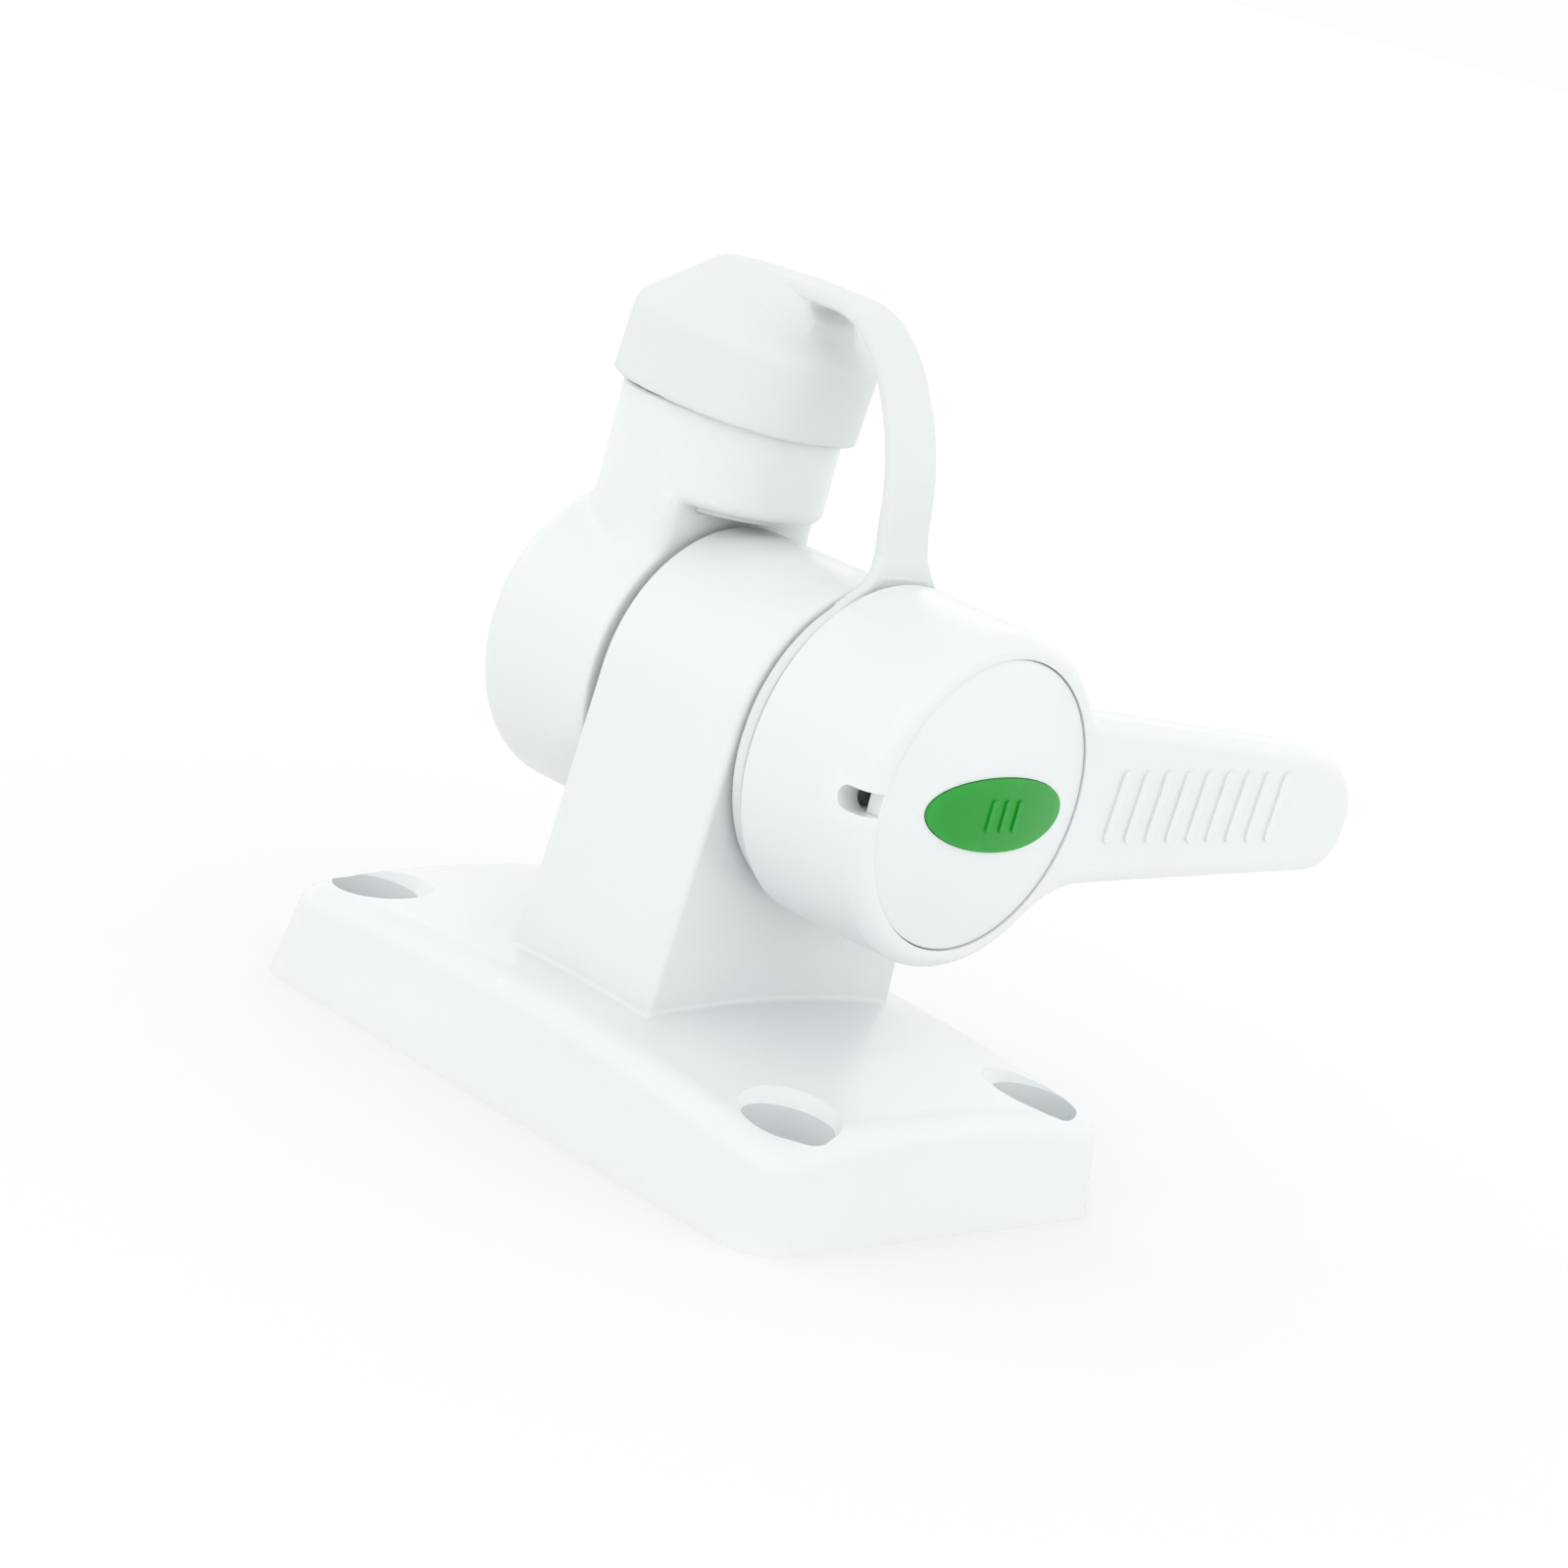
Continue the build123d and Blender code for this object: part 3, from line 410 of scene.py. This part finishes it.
def with_prism(name, source, points, around):
    """A copy of a CAD mesh with one more closed tube of points, in millimetres, laid into it."""
    mesh = source.copy()
    joined = [tuple(v.co / MM) for v in mesh.vertices]
    faces = [tuple(p.vertices) for p in mesh.polygons]
    first = len(joined)
    faces += [tuple(first + index for index in face) for face in tube_faces(len(points) // around, around)]
    return mesh_of(name, joined + points, faces)


def make_cap_skin():
    """The soft cap as one flexible moulding, its top swelling into the strap."""
    points = []
    for y, crest, crest_half, foot, foot_half, floor in cap_saddle:
        half = (crest_half + foot_half) / 2
        height = (2 * crest + 3 * foot) / 5
        side = [(crest_half, crest), (half, height), (foot_half, foot), (foot_half, floor)]
        points += [(-x, y, z) for x, z in reversed(side)] + [(x, y, z) for x, z in side]
    mesh = soften(with_prism("cap", nodes["cap"].data, points, 8), 0.3, 8, 0.12, 9.0)
    new_piece("cap_skin", mesh, "cap", "white_rubber", "cap")


def ease_creases(mesh, spots, low_y, high_y, reach, rounds):
    """Smooths a mesh near the lines along Y through the spots, between two places on Y, in millimetres."""
    holder = bpy.data.objects.new("creases", mesh)
    bpy.context.collection.objects.link(holder)
    near = holder.vertex_groups.new(name="near")
    for vertex in mesh.vertices:
        x, y, z = vertex.co / MM
        away = min(hypot(x - spot_x, z - spot_z) for spot_x, spot_z in spots)
        weight = min(2 - 2 * away / reach, (y - low_y) / 2, (high_y - y) / 2, 1.0)
        if weight > 0:
            near.add([vertex.index], weight, "REPLACE")
    smooth = holder.modifiers.new("ease", "SMOOTH")
    smooth.factor = 0.5
    smooth.iterations = rounds
    smooth.vertex_group = near.name
    shown = holder.evaluated_get(bpy.context.evaluated_depsgraph_get())
    made = bpy.data.meshes.new_from_object(shown)
    bpy.data.objects.remove(holder)
    return made


def among_teeth(x, y, z):
    """Whether a point of the arm, in millimetres, lies in the ring of the ratchet teeth."""
    return teeth_inner_radius < hypot(x, z - pivot_z) < teeth_outer_radius and y < behind_teeth


def make_arm_skin():
    """The moulded arm, its column flowing into the disc without a crease, with the CAD's own teeth."""
    solid = nodes["arm"].data
    skin = soften(solid.copy(), 0.4, 2, 0.0, 10.0)
    skin = ease_creases(skin, arm_creases, crease_from_y, crease_to_y, crease_reach, crease_rounds)
    points, faces = [], [tuple(polygon.vertices) for polygon in skin.polygons]
    for vertex in skin.vertices:
        x, y, z = vertex.co / MM
        points.append((x, behind_teeth if among_teeth(x, y, z) else y, z))
    kept = {}
    for polygon in solid.polygons:
        corners = [solid.vertices[index].co / MM for index in polygon.vertices]
        if all(among_teeth(*corner) for corner in corners):
            for index, corner in zip(polygon.vertices, corners):
                if index not in kept:
                    kept[index] = len(points)
                    points.append(tuple(corner))
            faces.append(tuple(kept[index] for index in polygon.vertices))
    new_piece("arm_skin", mesh_of("arm", points, faces), "arm", "white_nylon", "arm")


def make_ring_skin():
    """The tether's ring, with the strap's root spreading into it."""
    points = []
    for z, half, front, back in ring_fan:
        points += [(-half, front, z), (half, front, z), (half, back, z), (-half, back, z)]
    mesh = soften(with_prism("ring", nodes["cap_ring"].data, points, 4), 0.28, 5, 0.05, 8.0)
    for vertex in mesh.vertices:
        x, y, z = vertex.co / MM
        front = ring_flange if hypot(x, z - pivot_z) > ring_lip_radius else ring_lip
        vertex.co.y = max(y, front) * MM
    new_piece("ring_skin", mesh, "arm", "white_rubber", "cap_ring")


def coil_rise(share):
    """How far a coil with closed ends has risen at a share of its turns: nearly flat in its end turns."""
    first = min(share / spring_end_share, 1.0)
    middle = min(max((share - spring_end_share) / (1 - 2 * spring_end_share), 0.0), 1.0)
    final = max((share - (1 - spring_end_share)) / spring_end_share, 0.0)
    return spring_end_rise * (first + final) + (1 - 2 * spring_end_rise) * middle


def make_spring_wire():
    """Release spring as a drawn coil with closed ends."""
    low, high = (corner[1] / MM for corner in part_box("release_spring"))
    around, steps = 12, 48
    lift = spring_wire + spring_end_gap
    points = []
    rings = int(spring_turns * steps) + 1
    for ring in range(rings):
        rise = lift + (high - low - 2 * lift) * coil_rise(ring / (rings - 1))
        angle = tau * ring / steps
        out = Vector((cos(angle), 0, sin(angle)))
        middle = Vector((spring_coil * cos(angle), low + rise, pivot_z + spring_coil * sin(angle)))
        for step in range(around):
            turn = tau * step / around
            along = Vector((0, spring_wire * sin(turn), 0))
            points.append(middle + out * (spring_wire * cos(turn)) + along)
    mesh = mesh_of("spring_wire", points, tube_faces(rings, around))
    spring = new_piece("spring_wire", mesh, "base", "spring_steel", "release_spring")
    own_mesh(spring)


def lathe(name, profile, centre, axis, slot_name, replaced):
    """A rubber ring on the arm, turned from a closed outline of (radius, place along the axis)."""
    around = 96
    outline = curve_through(profile + profile[:1], 4)[:-1]
    points = []
    for step in range(around):
        angle = tau * step / around
        for radius, along in outline:
            a, b = radius * cos(angle), radius * sin(angle)
            offset = (a, along, b) if axis == "Y" else (a, b, along)
            points.append(tuple(c + o for c, o in zip(centre, offset)))
    mesh = mesh_of(name, points, tube_faces(around, len(outline), closed=True))
    new_piece(name, mesh, "arm", slot_name, replaced)


def make_grommet():
    """Rubber grommet with a rolled flange and a rounded mouth."""
    low, high = ([value / MM for value in corner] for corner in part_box("cable_grommet"))
    inner, back = low[1], high[1]
    seat = back - 1.2
    profile = [(2.62, inner + 0.4), (2.85, inner), (3.6, inner), (3.95, inner + 0.4), (3.95, seat - 0.2)]
    profile += [(4.15, seat), (4.9, seat), (5.2, seat + 0.35), (5.05, back - 0.3), (4.5, back), (3.3, back)]
    profile += [(2.75, back - 0.25), (2.62, back - 0.8)]
    lathe("grommet", profile, (0.0, 0.0, (low[2] + high[2]) / 2), "Y", "black_rubber", "cable_grommet")


def make_seal():
    """Sealing ring round the stud's foot, a little flattened where it lies on the boss."""
    low, high = ([value / MM for value in corner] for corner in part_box("stud_seal"))
    section = (high[2] - low[2]) / 2
    middle = (high[0] - low[0]) / 2 - section
    profile = []
    for step in range(12):
        angle = tau * step / 12
        rise = max(section * sin(angle), -0.8 * section)
        profile.append((middle + section * cos(angle), section + rise))
    lathe("seal", profile, (0.0, (low[1] + high[1]) / 2, low[2]), "Z", "black_rubber", "stud_seal")


# ---------------------------------------------------------------- stage, light and camera


def make_floor():
    """Plain pale floor under the mount."""
    half = floor_size / 2
    mesh = bpy.data.meshes.new("floor")
    corners = [(-half, -half, 0), (half, -half, 0), (half, half, 0), (-half, half, 0)]
    mesh.from_pydata(corners, [], [(0, 1, 2, 3)])
    floor = bpy.data.objects.new("floor", mesh)
    bpy.context.collection.objects.link(floor)
    made, tree, links, shader = material("floor")
    shader.inputs["Base Color"].default_value = (floor_tone, floor_tone, floor_tone, 1.0)
    shader.inputs["Roughness"].default_value = 1.0
    shader.inputs["Specular IOR Level"].default_value = 0.0
    mesh.materials.append(made)


def make_sun():
    """A broad soft light from beside the camera."""
    data = bpy.data.lights.new("key", "SUN")
    data.energy = sun_strength
    data.angle = radians(sun_angle)
    light = bpy.data.objects.new("key", data)
    light.rotation_euler = Vector(sun_way).to_track_quat("-Z", "Y").to_euler()
    bpy.context.collection.objects.link(light)


def make_world():
    """White surroundings, even behind the mount and brighter a little above the horizon."""
    world = bpy.data.worlds.new("studio")
    bpy.context.scene.world = world
    world.use_nodes = True
    tree, links = world.node_tree.nodes, world.node_tree.links
    split = tree.new("ShaderNodeSeparateXYZ")
    links.new(tree.new("ShaderNodeTexCoord").outputs["Generated"], split.inputs["Vector"])
    level = tree.new("ShaderNodeValToRGB")
    level.color_ramp.interpolation = "EASE"
    stops = level.color_ramp.elements
    brightest = max(value for _, value in world_levels)
    while len(stops) < len(world_levels):
        stops.new(0.5)
    for stop, (height, value) in zip(stops, world_levels):
        stop.position = height
        stop.color = (value / brightest, value / brightest, value / brightest, 1.0)
    links.new(split.outputs["Z"], level.inputs["Fac"])
    links.new(level.outputs["Color"], tree["Background"].inputs["Color"])
    tree["Background"].inputs["Strength"].default_value = brightest


def make_camera():
    """The photograph's camera."""
    data = bpy.data.cameras.new("camera")
    data.lens = camera_lens
    data.sensor_width = camera_sensor
    camera = bpy.data.objects.new("camera", data)
    heading = radians(camera_heading)
    drop = radians(camera_drop)
    forward = Vector((cos(drop) * cos(heading), cos(drop) * sin(heading), -sin(drop)))
    aim = forward.to_track_quat("-Z", "Y") @ Quaternion((0, 0, 1), radians(camera_roll))
    camera.location = camera_position
    camera.rotation_mode = "QUATERNION"
    camera.rotation_quaternion = aim
    bpy.context.collection.objects.link(camera)
    bpy.context.scene.camera = camera


materials = make_materials()
dress_nodes(materials)
make_cap_skin()
make_ring_skin()
make_arm_skin()
make_tether()
make_spring_wire()
make_grommet()
make_seal()
make_floor()
make_world()
make_sun()
make_camera()
bpy.context.scene.view_settings.view_transform = "Standard"
